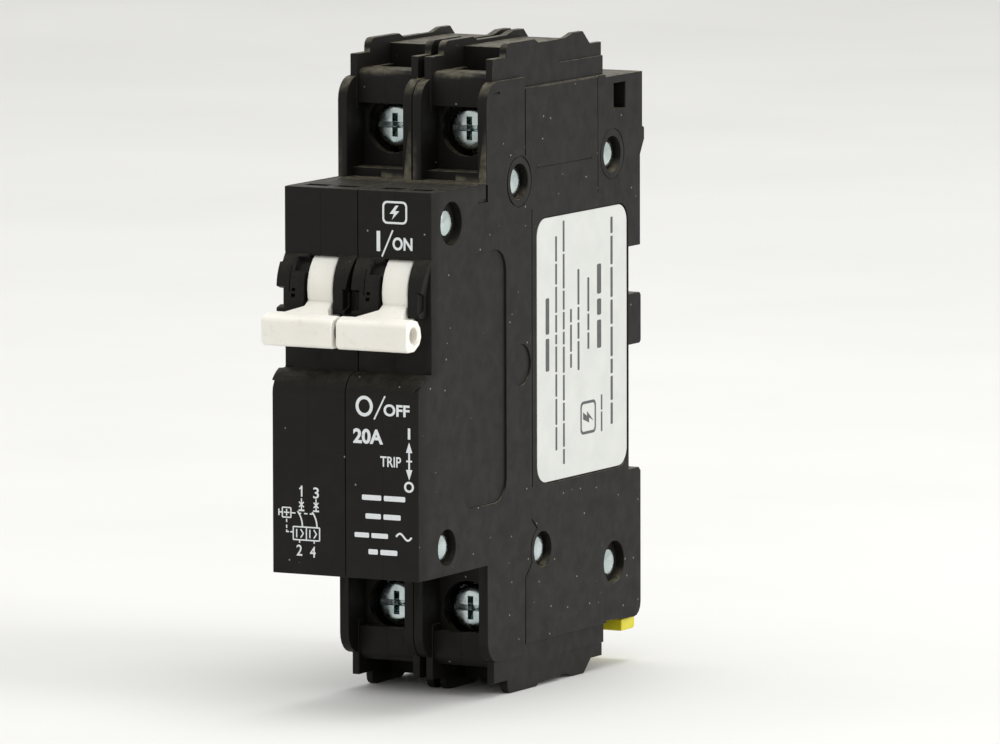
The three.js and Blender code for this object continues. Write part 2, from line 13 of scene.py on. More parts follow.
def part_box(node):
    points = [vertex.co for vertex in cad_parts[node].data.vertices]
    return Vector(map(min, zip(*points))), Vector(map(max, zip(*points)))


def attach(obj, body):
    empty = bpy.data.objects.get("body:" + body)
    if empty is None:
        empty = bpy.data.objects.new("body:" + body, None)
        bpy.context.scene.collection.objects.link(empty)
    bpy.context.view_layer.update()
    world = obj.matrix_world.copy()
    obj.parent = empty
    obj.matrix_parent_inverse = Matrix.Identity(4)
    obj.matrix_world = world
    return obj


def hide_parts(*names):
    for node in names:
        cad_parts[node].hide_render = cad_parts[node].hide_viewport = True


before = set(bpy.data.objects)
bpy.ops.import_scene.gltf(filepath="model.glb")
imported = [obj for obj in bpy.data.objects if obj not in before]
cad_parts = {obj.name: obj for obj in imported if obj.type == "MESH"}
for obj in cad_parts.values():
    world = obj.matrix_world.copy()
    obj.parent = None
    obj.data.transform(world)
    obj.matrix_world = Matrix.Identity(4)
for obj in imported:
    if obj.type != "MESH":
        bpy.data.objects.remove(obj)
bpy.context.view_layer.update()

MM = 0.001
CASE_HALVES = [
    ("left", "left"),
    ("left", "right"),
    ("right", "left"),
    ("right", "right"),
]
POLES = ("left", "right")
OUTER_LOW, OUTER_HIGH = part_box("case_right_pole_right_half")
FRONT = OUTER_LOW.y
POLE_WIDTH = OUTER_HIGH.x / MM
BODY_HEIGHT = OUTER_HIGH.z / MM
NOSE_HEIGHT = 59
NOSE_BOTTOM = (BODY_HEIGHT - NOSE_HEIGHT) / 2
NOSE_TOP = BODY_HEIGHT - NOSE_BOTTOM
UPPER_FACE = 4.2
PIVOT = (8.9, 64.4)
WELD = 4e-6  # in metres
COPY_WELD = 3e-6  # in metres
SIDEWAYS = 0.99  # how far along x the normal of a side face points, at least
SEAM_REACH = 0.1  # how near to a seam a corner lies to belong to it
HAIRLINE = 0.015  # what is left between a corner and its seam
TOOL_OVERLAP = 0.5  # how far outside a side face a cutting tool starts
TIP = 0.01  # the radius that stands for a point on the axis of a turned piece


# ------------------------------------------------------------------ mesh helpers
def place(x, depth, z):
    return Vector((x * MM, FRONT + depth * MM, z * MM))


def middle_of(node):
    low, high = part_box(node)
    return (low + high) / 2


def object_from(bm, name):
    bmesh.ops.recalc_face_normals(bm, faces=bm.faces)
    mesh = bpy.data.meshes.new(name)
    bm.to_mesh(mesh)
    bm.free()
    made = bpy.data.objects.new(name, mesh)
    bpy.context.scene.collection.objects.link(made)
    return made


def loft(rings, closed=False):
    """A mesh through rings of points, all with the same count, capped at both ends unless closed."""
    bm = bmesh.new()
    rows = [[bm.verts.new(point) for point in ring] for ring in rings]
    count = len(rows[0])
    pairs = list(zip(rows, rows[1:] + rows[:1] if closed else rows[1:]))
    for row, after in pairs:
        for i in range(count):
            j = (i + 1) % count
            bm.faces.new((row[i], row[j], after[j], after[i]))
    if not closed:
        bm.faces.new(rows[0])
        bm.faces.new(rows[-1])
    return bm


def prism(outline, x0, x1, name="tool"):
    """A depth and height outline made solid from x0 to x1."""
    rings = [[place(x, depth, z) for depth, z in outline] for x in (x0, x1)]
    return object_from(loft(rings), name)


def plate(outline, depth0, depth1):
    """An outline of x and height made solid from depth0 to depth1."""
    rings = [[place(x, depth, z) for x, z in outline] for depth in (depth0, depth1)]
    return object_from(loft(rings), "tool")


def hollow(outer, inner, spot, near, far):
    """A solid between two outlines of the same count; spot(distance, point) places a point."""
    rings = [[spot(distance, point) for point in outline]
             for distance in (near, far) for outline in (outer, inner)]
    return object_from(loft([rings[0], rings[1], rings[3], rings[2]], closed=True), "tool")


def on_side(x, point):
    return place(x, *point)


def on_front(depth, point):
    return place(point[0], depth, point[1])


def arc(centre, radius, start, end, steps=8):
    """Points on an arc, angles in degrees."""
    points = []
    for i in range(steps + 1):
        angle = math.radians(start + (end - start) * i / steps)
        points.append((centre[0] + radius * math.cos(angle), centre[1] + radius * math.sin(angle)))
    return points


def circle(centre, radius, steps=32):
    return arc(centre, radius, 0, 360, steps)[:-1]


def rounded(x0, x1, z0, z1, radius, steps=6):
    return (
        arc((x0 + radius, z0 + radius), radius, 180, 270, steps)
        + arc((x1 - radius, z0 + radius), radius, 270, 360, steps)
        + arc((x1 - radius, z1 - radius), radius, 0, 90, steps)
        + arc((x0 + radius, z1 - radius), radius, 90, 180, steps)
    )


def ribbon(line, width):
    """The outline of a band of even width along a line of points."""
    left, right = [], []
    for i, point in enumerate(line):
        before = Vector(line[max(i - 1, 0)])
        after = Vector(line[min(i + 1, len(line) - 1)])
        here = Vector(point)
        ways = [way.normalized() for way in (here - before, after - here) if way.length > 0]
        along = sum(ways, Vector((0, 0))).normalized()
        reach = width / 2 / max(along.dot(ways[0]), 0.5)
        left.append((here.x - along.y * reach, here.y + along.x * reach))
        right.append((here.x + along.y * reach, here.y - along.x * reach))
    return left + right[::-1]


def bake(target):
    """Puts the result of an object's modifiers into its mesh."""
    view = bpy.context.evaluated_depsgraph_get()
    mesh = bpy.data.meshes.new_from_object(target.evaluated_get(view))
    target.modifiers.clear()
    target.data = mesh


def combine(target, operation, tools):
    for tool in tools:
        modifier = target.modifiers.new("shape", "BOOLEAN")
        modifier.operation = operation
        modifier.solver = "EXACT"
        modifier.object = tool
        bake(target)
        bpy.data.objects.remove(tool)


def clean(target):
    """Welds a mesh and merges its flat side faces, so that no sliver is left to tear."""
    bm = bmesh.new()
    bm.from_mesh(target.data)
    bmesh.ops.remove_doubles(bm, verts=bm.verts, dist=WELD)
    bmesh.ops.dissolve_degenerate(bm, dist=WELD, edges=bm.edges)
    bm.normal_update()
    flat = [edge for edge in bm.edges if all(abs(face.normal.x) > SIDEWAYS for face in edge.link_faces)]
    corners = list({vertex for edge in flat for vertex in edge.verts})
    bmesh.ops.dissolve_limit(bm, angle_limit=math.radians(0.5), verts=corners, edges=flat)
    bm.to_mesh(target.data)
    bm.free()


def soften(target, width, segments=2, angle=32, edge_slot=0, seam=None):
    """Rounds the outward edges sharper than the angle, apart from those in a seam plane at x = seam.

    edge_slot is the material slot of the roundings; the case puts a lighter copy of its plastic there,
    a painted highlight along its edges."""
    bm = bmesh.new()
    bm.from_mesh(target.data)
    weight = bm.edges.layers.float.new("bevel_weight_edge")
    for edge in bm.edges:
        in_seam = seam is not None and all(
            abs(vertex.co.x / MM - seam) < SEAM_REACH for vertex in edge.verts)
        turn = edge.calc_face_angle(0)
        if not in_seam and turn > math.radians(angle) and edge.is_convex:
            edge[weight] = 1.0
    bm.to_mesh(target.data)
    bm.free()
    target.data.shade_smooth()
    modifier = target.modifiers.new("edges", "BEVEL")
    modifier.width = width * MM
    modifier.segments = segments
    modifier.limit_method = "WEIGHT"
    modifier.use_clamp_overlap = False
    modifier.loop_slide = False
    modifier.material = edge_slot
    bake(target)
    smooth(target, angle)


def smooth(target, angle=32):
    """Smooth shading in which the wide flat faces keep their own direction."""
    target.data.shade_smooth()
    target.data.set_sharp_from_angle(angle=math.radians(angle))
    modifier = target.modifiers.new("normals", "WEIGHTED_NORMAL")
    modifier.keep_sharp = True
    modifier.weight = 80
    bake(target)


def copy_of(node, name):
    """A new piece with a CAD node's shape, its corners welded."""
    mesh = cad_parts[node].data.copy()
    mesh.materials.clear()
    made = bpy.data.objects.new(name, mesh)
    bpy.context.scene.collection.objects.link(made)
    bm = bmesh.new()
    bm.from_mesh(mesh)
    fresh = bpy.data.meshes.new(name)
    bmesh.ops.remove_doubles(bm, verts=bm.verts, dist=COPY_WELD)
    bm.to_mesh(fresh)
    bm.free()
    made.data = bare(fresh)
    return made


def bare(mesh):
    """A mesh with the same faces and nothing else stored on it."""
    points = [vertex.co.copy() for vertex in mesh.vertices]
    faces = [list(face.vertices) for face in mesh.polygons]
    made = bpy.data.meshes.new(mesh.name)
    made.from_pydata(points, [], faces)
    return made


def finish_piece(piece, body, materials, replaced=()):
    for material in materials:
        piece.data.materials.append(material)
    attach(piece, body)
    if replaced:
        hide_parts(*replaced)


def joined(objects, name):
    """One object out of several meshes."""
    bm = bmesh.new()
    for item in objects:
        bm.from_mesh(item.data)
        bpy.data.objects.remove(item)
    return object_from(bm, name)


# ------------------------------------------------------------------ materials
class Look:
    """A Principled material with procedural colour, roughness and relief."""

    def __init__(self, name, roughness, metallic=0.0):
        self.material = bpy.data.materials.new(name)
        self.material.use_nodes = True
        self.tree = self.material.node_tree
        self.shader = self.tree.nodes["Principled BSDF"]
        self.shader.inputs["Metallic"].default_value = metallic
        self.shader.inputs["Roughness"].default_value = roughness
        self.place = self.tree.nodes.new("ShaderNodeTexCoord").outputs["Object"]
        self.height = None

    def link(self, source, target):
        self.tree.links.new(source, target)

    def noise(self, scale, detail=2.0):
        node = self.tree.nodes.new("ShaderNodeTexNoise")
        node.inputs["Scale"].default_value = scale
        node.inputs["Detail"].default_value = detail
        self.link(self.place, node.inputs["Vector"])
        return node.outputs["Fac"]

    def range(self, value, low, high, out_low=0.0, out_high=1.0):
        node = self.tree.nodes.new("ShaderNodeMapRange")
        node.inputs["From Min"].default_value = low
        node.inputs["From Max"].default_value = high
        node.inputs["To Min"].default_value = out_low
        node.inputs["To Max"].default_value = out_high
        self.link(value, node.inputs["Value"])
        return node.outputs["Result"]

    def times(self, first, second):
        node = self.tree.nodes.new("ShaderNodeMath")
        node.operation = "MULTIPLY"
        self.link(first, node.inputs[0])
        self.link(second, node.inputs[1])
        return node.outputs["Value"]

    def upward(self):
        """One on faces that look up, nought on the others."""
        geometry = self.tree.nodes.new("ShaderNodeNewGeometry")
        split = self.tree.nodes.new("ShaderNodeSeparateXYZ")
        self.link(geometry.outputs["Normal"], split.inputs["Vector"])
        return self.range(split.outputs["Z"], 0.3, 0.92)

    def behind(self, start, end):
        """A quarter in front of the start depth, one behind the end depth, in mm from the front."""
        split = self.tree.nodes.new("ShaderNodeSeparateXYZ")
        self.link(self.place, split.inputs["Vector"])
        return self.range(split.outputs["Y"], FRONT + start * MM, FRONT + end * MM, 0.25, 1.0)

    def specks(self, scale, size, share):
        """Small round dots in a share of the cells of a pattern."""
        node = self.tree.nodes.new("ShaderNodeTexVoronoi")
        node.inputs["Scale"].default_value = scale
        self.link(self.place, node.inputs["Vector"])
        split = self.tree.nodes.new("ShaderNodeSeparateColor")
        self.link(node.outputs["Color"], split.inputs["Color"])
        chosen = self.range(split.outputs["Red"], 1 - share, 1 - share + 0.01)
        dot = self.range(node.outputs["Distance"], size, size * 0.6)
        return self.times(chosen, dot)

    def mix(self, factor, first, second):
        """A colour between two; each is a tuple or a socket."""
        node = self.tree.nodes.new("ShaderNodeMix")
        node.data_type = "RGBA"
        self.link(factor, node.inputs[0])
        for value, socket in ((first, node.inputs[6]), (second, node.inputs[7])):
            if isinstance(value, tuple):
                socket.default_value = (*value, 1)
            else:
                self.link(value, socket)
        return node.outputs[2]

    def colour(self, socket):
        self.link(socket, self.shader.inputs["Base Color"])

    def roughness(self, socket):
        self.link(socket, self.shader.inputs["Roughness"])

    def relief(self, socket, distance, strength=1.0):
        node = self.tree.nodes.new("ShaderNodeBump")
        node.inputs["Distance"].default_value = distance * MM
        node.inputs["Strength"].default_value = strength
        self.link(socket, node.inputs["Height"])
        if self.height is not None:
            self.link(self.height, node.inputs["Normal"])
        self.height = node.outputs["Normal"]
        self.link(self.height, self.shader.inputs["Normal"])


def case_plastic(name, dark, light, rough, dust=0.55):
    """Black moulded plastic: fine grain, faint mottling, dust on upward faces and a few specks."""
    look = Look(name, rough)
    mottle = look.range(look.noise(260, 4), 0.3, 0.7)
    base = look.mix(mottle, dark, light)
    lint = look.range(look.noise(900, 5), 0.34, 0.7, 0.1, dust)
    settled = look.times(look.times(look.upward(), look.behind(17, 21)), lint)
    dusty = look.mix(settled, base, (0.25, 0.223, 0.155))
    spotted = look.mix(look.specks(430, 0.075, 0.5), dusty, (0.26, 0.25, 0.22))
    look.colour(spotted)
    look.roughness(look.range(look.noise(420, 3), 0.3, 0.7, rough - 0.05, rough + 0.07))
    look.relief(look.noise(5200, 2), 0.016, 0.6)
    look.relief(look.noise(140, 2), 0.05, 0.35)
    look.shader.inputs["Specular IOR Level"].default_value = 0.18
    return look.material


def handle_plastic():
    look = Look("handle_plastic", 0.38)
    mottle = look.range(look.noise(180, 4), 0.3, 0.7)
    base = look.mix(mottle, (0.86, 0.835, 0.755), (0.90, 0.885, 0.825))
    grime = look.range(look.noise(950, 6), 0.6, 0.8, 0.0, 0.3)
    look.colour(look.mix(grime, base, (0.56, 0.5, 0.38)))
    look.roughness(look.range(look.noise(500, 3), 0.3, 0.7, 0.33, 0.46))
    look.relief(look.noise(3600, 2), 0.008, 0.5)
    look.shader.inputs["Subsurface Weight"].default_value = 0.12
    look.shader.inputs["Subsurface Radius"].default_value = (0.0012, 0.001, 0.0007)
    look.shader.inputs["Subsurface Scale"].default_value = 1.0
    return look.material


def label_film():
    look = Look("label_film", 0.45)
    patches = look.range(look.noise(220, 4), 0.3, 0.7)
    look.colour(look.mix(patches, (0.58, 0.59, 0.565), (0.63, 0.64, 0.61)))
    look.roughness(look.range(look.noise(700, 3), 0.3, 0.7, 0.4, 0.52))
    look.relief(look.noise(260, 3), 0.02, 0.4)
    return look.material


def ink(name, colour, worn):
    look = Look(name, 0.5)
    wear = look.range(look.noise(2600, 5), 0.62, 0.78, 0.0, 0.5)
    look.colour(look.mix(wear, colour, worn))
    look.roughness(look.range(look.noise(900, 3), 0.3, 0.7, 0.45, 0.6))
    look.relief(look.noise(4000, 2), 0.004, 0.5)
    return look.material


def metal(name, first, second, rough):
    look = Look(name, rough, 1.0)
    look.colour(look.mix(look.range(look.noise(330, 4), 0.3, 0.7), first, second))
    look.roughness(look.range(look.noise(800, 4), 0.3, 0.7, rough - 0.08, rough + 0.12))
    look.relief(look.noise(1400, 3), 0.002, 0.5)
    return look.material


def plain_plastic(name, first, second, rough):
    look = Look(name, rough)
    look.colour(look.mix(look.range(look.noise(300, 4), 0.3, 0.7), first, second))
    look.roughness(look.range(look.noise(600, 3), 0.3, 0.7, rough - 0.06, rough + 0.08))
    look.relief(look.noise(3800, 2), 0.01, 0.5)
    return look.material


def enamelled_wire():
    material = metal("enamelled_copper", (0.62, 0.22, 0.08), (0.5, 0.16, 0.05), 0.28)
    shader = material.node_tree.nodes["Principled BSDF"]
    shader.inputs["Coat Weight"].default_value = 0.6
    shader.inputs["Coat Roughness"].default_value = 0.12
    return material


CASE = case_plastic("case_plastic", (0.0064, 0.0058, 0.0048), (0.0088, 0.0080, 0.0065), 0.5)
# A lighter copy of the case plastic for the rounded edges: a painted highlight where the edges catch
# the light, not a colour the plastic has.
CASE_EDGE_HIGHLIGHT = case_plastic(
    "case_plastic_painted_edge_highlight", (0.013, 0.012, 0.0102), (0.019, 0.0175, 0.0145), 0.42, 0.4)
HANDLE = handle_plastic()
LABEL = label_film()
WHITE_INK = ink("white_ink", (0.74, 0.77, 0.79), (0.3, 0.31, 0.32))
BLACK_INK = ink("black_ink", (0.075, 0.075, 0.078), (0.22, 0.22, 0.22))
ZINC = metal("zinc_plate", (0.40, 0.50, 0.50), (0.60, 0.66, 0.65), 0.2)
STEEL = metal("steel", (0.42, 0.43, 0.45), (0.55, 0.56, 0.57), 0.32)
BRASS = metal("brass", (0.72, 0.55, 0.26), (0.8, 0.63, 0.33), 0.3)
COPPER = metal("copper", (0.78, 0.4, 0.25), (0.86, 0.5, 0.33), 0.32)
ENAMEL = enamelled_wire()
LATCH = plain_plastic("latch_plastic", (0.62, 0.54, 0.01), (0.74, 0.66, 0.03), 0.42)
TRIP = plain_plastic("trip_plastic", (0.26, 0.03, 0.02), (0.34, 0.05, 0.03), 0.45)


# ------------------------------------------------------------------ case halves
def rivet_place(number):
    """The depth and height of a rivet's axis, in mm."""
    centre = middle_of(f"rivet_{number}")
    return (round((centre.y - FRONT) / MM, 2), round(centre.z / MM, 2))


RIVET_COUNT = 6
RIVETS = [rivet_place(number) for number in range(1, RIVET_COUNT + 1)]


def groove(edge, sign, line, width=0.28, deep=0.16):
    """A tool that scratches a line into the side face at x = edge."""
    ends = (edge - sign * TOOL_OVERLAP, edge + sign * deep)
    return prism(ribbon(line, width), *ends)


def ring_groove(edge, sign, centre, radius, width=0.28, deep=0.16):
    outer = circle(centre, radius + width / 2, 40)
    inner = circle(centre, radius - width / 2, 40)
    return hollow(outer, inner, on_side, edge - sign * TOOL_OVERLAP, edge + sign * deep)


def side_lines(edge, sign):
    """The panel lines of an outer side face, as tools to cut with."""
    upper_boss, lower_boss = RIVETS[1], RIVETS[4]
    return [
        groove(edge, sign, [(34.1, 83.0), (34.1, 93.4)]),
        groove(edge, sign, [(38, 93.4), (58.6, 93.4)]),
        groove(edge, sign, [(58.1, 75.2), (58.1, 93.2)], 0.2, 0.08),
        groove(edge, sign, [(37.9, 80.85), (56.1, 80.85)], 0.2, 0.1),
        groove(edge, sign, [(24, 93.4), (25.9, 93.4)], 0.3, 0.2),
        groove(edge, sign, [(36.2, 31.4), (36.2, 74.6)], 0.24, 0.12),
        groove(edge, sign, [(26.4, 5.3), (57.9, 5.3)], 0.24, 0.14),
        groove(edge, sign, [(33.7, 6.7), (60.6, 6.7)], 0.24, 0.14),
        groove(edge, sign, [(33.9, 6.9), (33.9, 17.6), *arc(lower_boss, 3.9, 205, 118, 7), (36, 26.4)]),
        ring_groove(edge, sign, upper_boss, 3.9),
        ring_groove(edge, sign, RIVETS[2], 3.95, 0.2, 0.12),
        prism([(18.7, 76.9), (21.9, 76.9), (21.9, 79.6), (21.2, 79.6), (21.2, 77.5), (18.7, 77.5)],
              edge - sign * TOOL_OVERLAP, edge + sign * 0.25),
    ]


def front_chamfer(edge, sign):
    """A shallow slope along the front edge of the nose's side, following the step in its face."""
    stations = [
        (0, NOSE_BOTTOM - 1, 2.9),
        (0, 49.2, 2.9),
        (UPPER_FACE, 52.4, 1.9),
        (UPPER_FACE, NOSE_TOP + 1, 1.9),
    ]
    rings = []
    for face, z, reach in stations:
        rings.append([
            place(edge - sign * 0.6, face - 1, z),
            place(edge + sign * 0.42, face - 1, z),
            place(edge - sign * 0.02, face + reach, z),
            place(edge - sign * 0.6, face + reach, z),
        ])
    return object_from(loft(rings), "tool")


def guard_wedge(edge, sign):
    """The gap between a right cheek and its neighbour: wide at the bottom, closed at the top."""
    rings = []
    for depth in (-2, 4.1):
        rings.append([
            place(edge - sign * TOOL_OVERLAP, depth, 59),
            place(edge + sign * 1.15, depth, 59),
            place(edge + sign * 1.0, depth, 64),
            place(edge + sign * 0.2, depth, 69.3),
            place(edge - sign * TOOL_OVERLAP, depth, 69.3),
        ])
    return object_from(loft(rings), "tool")


def guard_band(radius0, radius1, start, end):
    """An outline in the guard's curved face between two radii and two angles."""
    return arc(PIVOT, radius0, start, end, 6) + arc(PIVOT, radius1, end, start, 6)


def cheek_details(edge, sign):
    """The pocket, the parting line and the two pips on the curved face of a left cheek."""
    def across(near, far, outline):
        return prism(outline, edge + sign * near, edge + sign * far)

    outside = 8.4
    return [
        across(3.0, 4.9, guard_band(5.9, outside, 157, 137)),
        across(2.22, 2.4, guard_band(6.8, outside, 184, 150)),
        across(2.6, 3.3, guard_band(6.2, outside, 191, 186)),
        across(2.75, 3.35, guard_band(6.2, outside, 183, 179)),
    ]


def close_seam(shell, seam):
    """Brings a half's mating edge up to its seam, so that only a hairline is left."""
    for vertex in shell.data.vertices:
        gap = vertex.co.x - seam * MM
        if abs(gap) < SEAM_REACH * MM:
            vertex.co.x = seam * MM + math.copysign(HAIRLINE * MM, gap)


def build_case():
    for pole, side in CASE_HALVES:
        node = f"case_{pole}_pole_{side}_half"
        shell = copy_of(node, f"shell_{pole}_pole_{side}_half")
        sign = 1 if side == "left" else -1
        edge = {("left", "left"): -POLE_WIDTH, ("right", "right"): POLE_WIDTH}.get((pole, side), 0)
        tools = [guard_wedge(edge, sign)] if side == "right" else []
        details = cheek_details(edge, sign) if side == "left" else []
        if pole == side:
            tools.append(front_chamfer(edge, sign))
            details.extend(side_lines(edge, sign))
        combine(shell, "DIFFERENCE", tools)
        clean(shell)
        seam = (-1 if pole == "left" else 1) * POLE_WIDTH / 2
        close_seam(shell, seam)
        # edge_slot 1 gives the roundings the lighter plastic, a painted edge highlight.
        soften(shell, 0.13, edge_slot=1, seam=seam)
        combine(shell, "DIFFERENCE", details)
        smooth(shell)
        finish_piece(shell, "case", (CASE, CASE_EDGE_HIGHLIGHT), (node,))


build_case()


# ------------------------------------------------------------------ rivets and label
INK_PROUD = 0.012
LABEL_INK_SUNK = 0.01
NOSE_INK_SUNK = 0.02
INK_STEP = 0.0002


def turned(profile, centre, axis, name, steps=40):
    """A turned piece: profile points are (radius, distance along the axis) from the centre, in mm."""
    along = Vector(axis).normalized()
    side = along.orthogonal().normalized()
    across = along.cross(side)
    rings = []
    for radius, distance in profile:
        ring = []
        for i in range(steps):
            angle = math.tau * i / steps
            way = side * math.cos(angle) + across * math.sin(angle)
            ring.append(centre + (along * distance + way * radius) * MM)
        rings.append(ring)
    return object_from(loft(rings), name)


def curve_profile(points):
    """Rounds the corners of a profile by cutting each one twice."""
    for _ in range(2):
        finer = [points[0]]
        for (r0, h0), (r1, h1) in zip(points, points[1:]):
            finer.append((r0 * 0.75 + r1 * 0.25, h0 * 0.75 + h1 * 0.25))
            finer.append((r0 * 0.25 + r1 * 0.75, h0 * 0.25 + h1 * 0.75))
        points = [*finer, points[-1]]
    return points


def build_rivets():
    """Shafts with domed heads, set down into their counterbores."""
    for number in range(1, RIVET_COUNT + 1):
        node = f"rivet_{number}"
        low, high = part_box(node)
        reach = (high.x - low.x) / 2 / MM
        head = (high.z - low.z) / 2 / MM
        rim = head * 0.97
        half = [(TIP, 0), (0.9, 0), (1.5, 0.1), (rim, 0.32), (head, 0.5), (rim, 0.68), (1.45, 0.7)]
        half = curve_profile(half)
        profile = [(r, h - reach) for r, h in half] + [(r, reach - h) for r, h in reversed(half)]
        rivet = turned(profile, middle_of(node), (1, 0, 0), f"domed_rivet_{number}", 36)
        smooth(rivet, 50)
        finish_piece(rivet, "case", (ZINC,), (node,))


def bars(rows, make):
    """Rows of short bars that stand for lines of small print.

    A row gives its place across, its start and end, its height and its number of words."""
    draw = random.Random(5)
    made = []
    for across, start, end, height, words in rows:
        weights = [draw.uniform(2.2, 6.5) for _ in range(words)]
        gap = height * 0.55
        unit = (end - start - gap * (words - 1)) / sum(weights)
        here = start
        for weight in weights:
            made.append(make(across, here, here + weight * unit, height))
            here += weight * unit + gap
    return made


def build_label():
    """The rating label: a printed film with rows of bars in place of its wording."""
    node = "rating_label"
    low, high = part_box(node)
    front = (low.y - FRONT) / MM
    back = (high.y - FRONT) / MM
    bottom, top = low.z / MM, high.z / MM
    outer = high.x / MM
    film = prism(rounded(front, back, bottom, top, 2.8, 10), low.x / MM, outer, "label_film_sheet")
    soften(film, 0.05, 2)
    finish_piece(film, "case", (LABEL,), (node,))

    ends = (outer - LABEL_INK_SUNK, outer + INK_PROUD)

    def bar(across, start, end, height):
        u0, u1 = front + across - height / 2, front + across + height / 2
        return prism(rounded(u0, u1, bottom + start, bottom + end, height * 0.22, 3), *ends)

    rows = [
        (3.4, 17.2, 28.6, 1.2, 2),
        (6.3, 4.6, 38.0, 0.6, 9),
        (8.8, 2.2, 40.2, 0.6, 10),
        (11.2, 17.0, 26.2, 0.6, 3),
        (13.7, 16.4, 32.2, 0.65, 4),
        (17.0, 19.4, 30.6, 0.65, 3),
        (20.6, 19.2, 32.4, 1.4, 3),
        (24.8, 6.8, 39.4, 0.75, 8),
        (21.4, 6.0, 11.8, 0.5, 2),
    ]
    print_marks = bars(rows, bar)

    u, v = front + 16.9, bottom + 8.7
    frame_outline = rounded(u - 2.6, u + 2.6, v - 2.6, v + 2.6, 0.9, 5)
    inner_outline = rounded(u - 2.15, u + 2.15, v - 2.15, v + 2.15, 0.6, 5)
    print_marks.append(hollow(frame_outline, inner_outline, on_side, *ends))
    bolt = [(-0.2, 1.7), (0.9, 1.7), (0.25, 0.4), (1.0, 0.4), (-0.7, -1.8), (-0.1, -0.3), (-0.9, -0.3)]
    print_marks.append(prism([(u - up, v + across) for across, up in bolt], *ends))
    marks = joined(print_marks, "label_print")
    finish_piece(marks, "case", (BLACK_INK,))


# ------------------------------------------------------------------ printed marks on the nose
class Print:
    """White print on one face of the nose, gathered and then joined into one piece."""

    def __init__(self, face):
        self.near = face - INK_PROUD
        self.far = face + NOSE_INK_SUNK
        self.made = []

    def shape(self, outline):
        """A printed shape, each a hair prouder than the last so that crossings stay clean."""
        step = INK_STEP * len(self.made)
        self.made.append(plate(outline, self.near - step, self.far))

    def line(self, points, width=0.22):
        self.shape(ribbon(points, width))

    def strokes(self, pairs, z, width):
        """Straight lines between pairs of points whose heights are counted from z."""
        for start, end in pairs:
            self.line([(start[0], z + start[1]), (end[0], z + end[1])], width)

    def ring(self, x, z, outer, inner, tall=1.0):
        """A ring whose height is a little more than its width, by the factor tall."""
        outlines = []
        for radius in (outer, inner):
            stretch = (radius + (tall - 1) * outer) / radius
            outlines.append([(u, z + (v - z) * stretch) for u, v in circle((x, z), radius, 40)])
        self.made.append(hollow(*outlines, on_front, self.near, self.far))

    def word(self, text, x0, x1, z0, z1, heavy=0.03):
        """Plain capitals or numbers that fill the given box."""
        data = bpy.data.curves.new("word", "FONT")
        data.body = text
        data.offset = heavy
        data.resolution_u = 6
        data.extrude = 0.1
        holder = bpy.data.objects.new("word", data)
        bpy.context.scene.collection.objects.link(holder)
        view = bpy.context.evaluated_depsgraph_get()
        mesh = bpy.data.meshes.new_from_object(holder.evaluated_get(view))
        bpy.data.objects.remove(holder)
        us = [vertex.co.x for vertex in mesh.vertices]
        vs = [vertex.co.y for vertex in mesh.vertices]
        for vertex in mesh.vertices:
            u = (vertex.co.x - min(us)) / (max(us) - min(us))
            v = (vertex.co.y - min(vs)) / (max(vs) - min(vs))
            depth = self.near if vertex.co.z > 0 else self.far
            vertex.co = place(x0 + u * (x1 - x0), depth, z0 + v * (z1 - z0))
        made = bpy.data.objects.new("word", mesh)
        bpy.context.scene.collection.objects.link(made)
        self.made.append(made)

    def small_print(self, rows):
        def bar(z, start, end, height):
            outline = rounded(start, end, z - height / 2, z + height / 2, height * 0.22, 3)
            return plate(outline, self.near, self.far)
        self.made.extend(bars(rows, bar))

    def finish(self, name):
        piece = joined(self.made, name)
        finish_piece(piece, "case", (WHITE_INK,))


def print_switch_marks():
    """I and ON above the handle, with a plain lightning mark in place of the maker's."""
    upper = Print(UPPER_FACE)
    z = NOSE_BOTTOM
    upper.line([(3.6, z + 49.75), (3.6, z + 52.85)], 0.62)
    upper.line([(4.2, z + 48.95), (6.1, z + 53.05)], 0.26)
    upper.word("ON", 6.05, 9.5, z + 50.0, z + 52.0)
    outer = rounded(4.3, 8.6, z + 54.0, z + 57.5, 0.8, 5)
    inner = rounded(4.62, 8.28, z + 54.32, z + 57.18, 0.55, 5)
    upper.made.append(hollow(outer, inner, on_front, upper.near, upper.far))
    bolt = [(6.6, 2.85), (5.55, 1.55), (6.3, 1.55), (5.95, 0.65), (7.25, 2.0), (6.5, 2.0), (7.1, 2.85)]
    bolt_base = z + 54
    upper.shape([(x, bolt_base + height) for x, height in bolt])
    upper.finish("upper_nose_print")


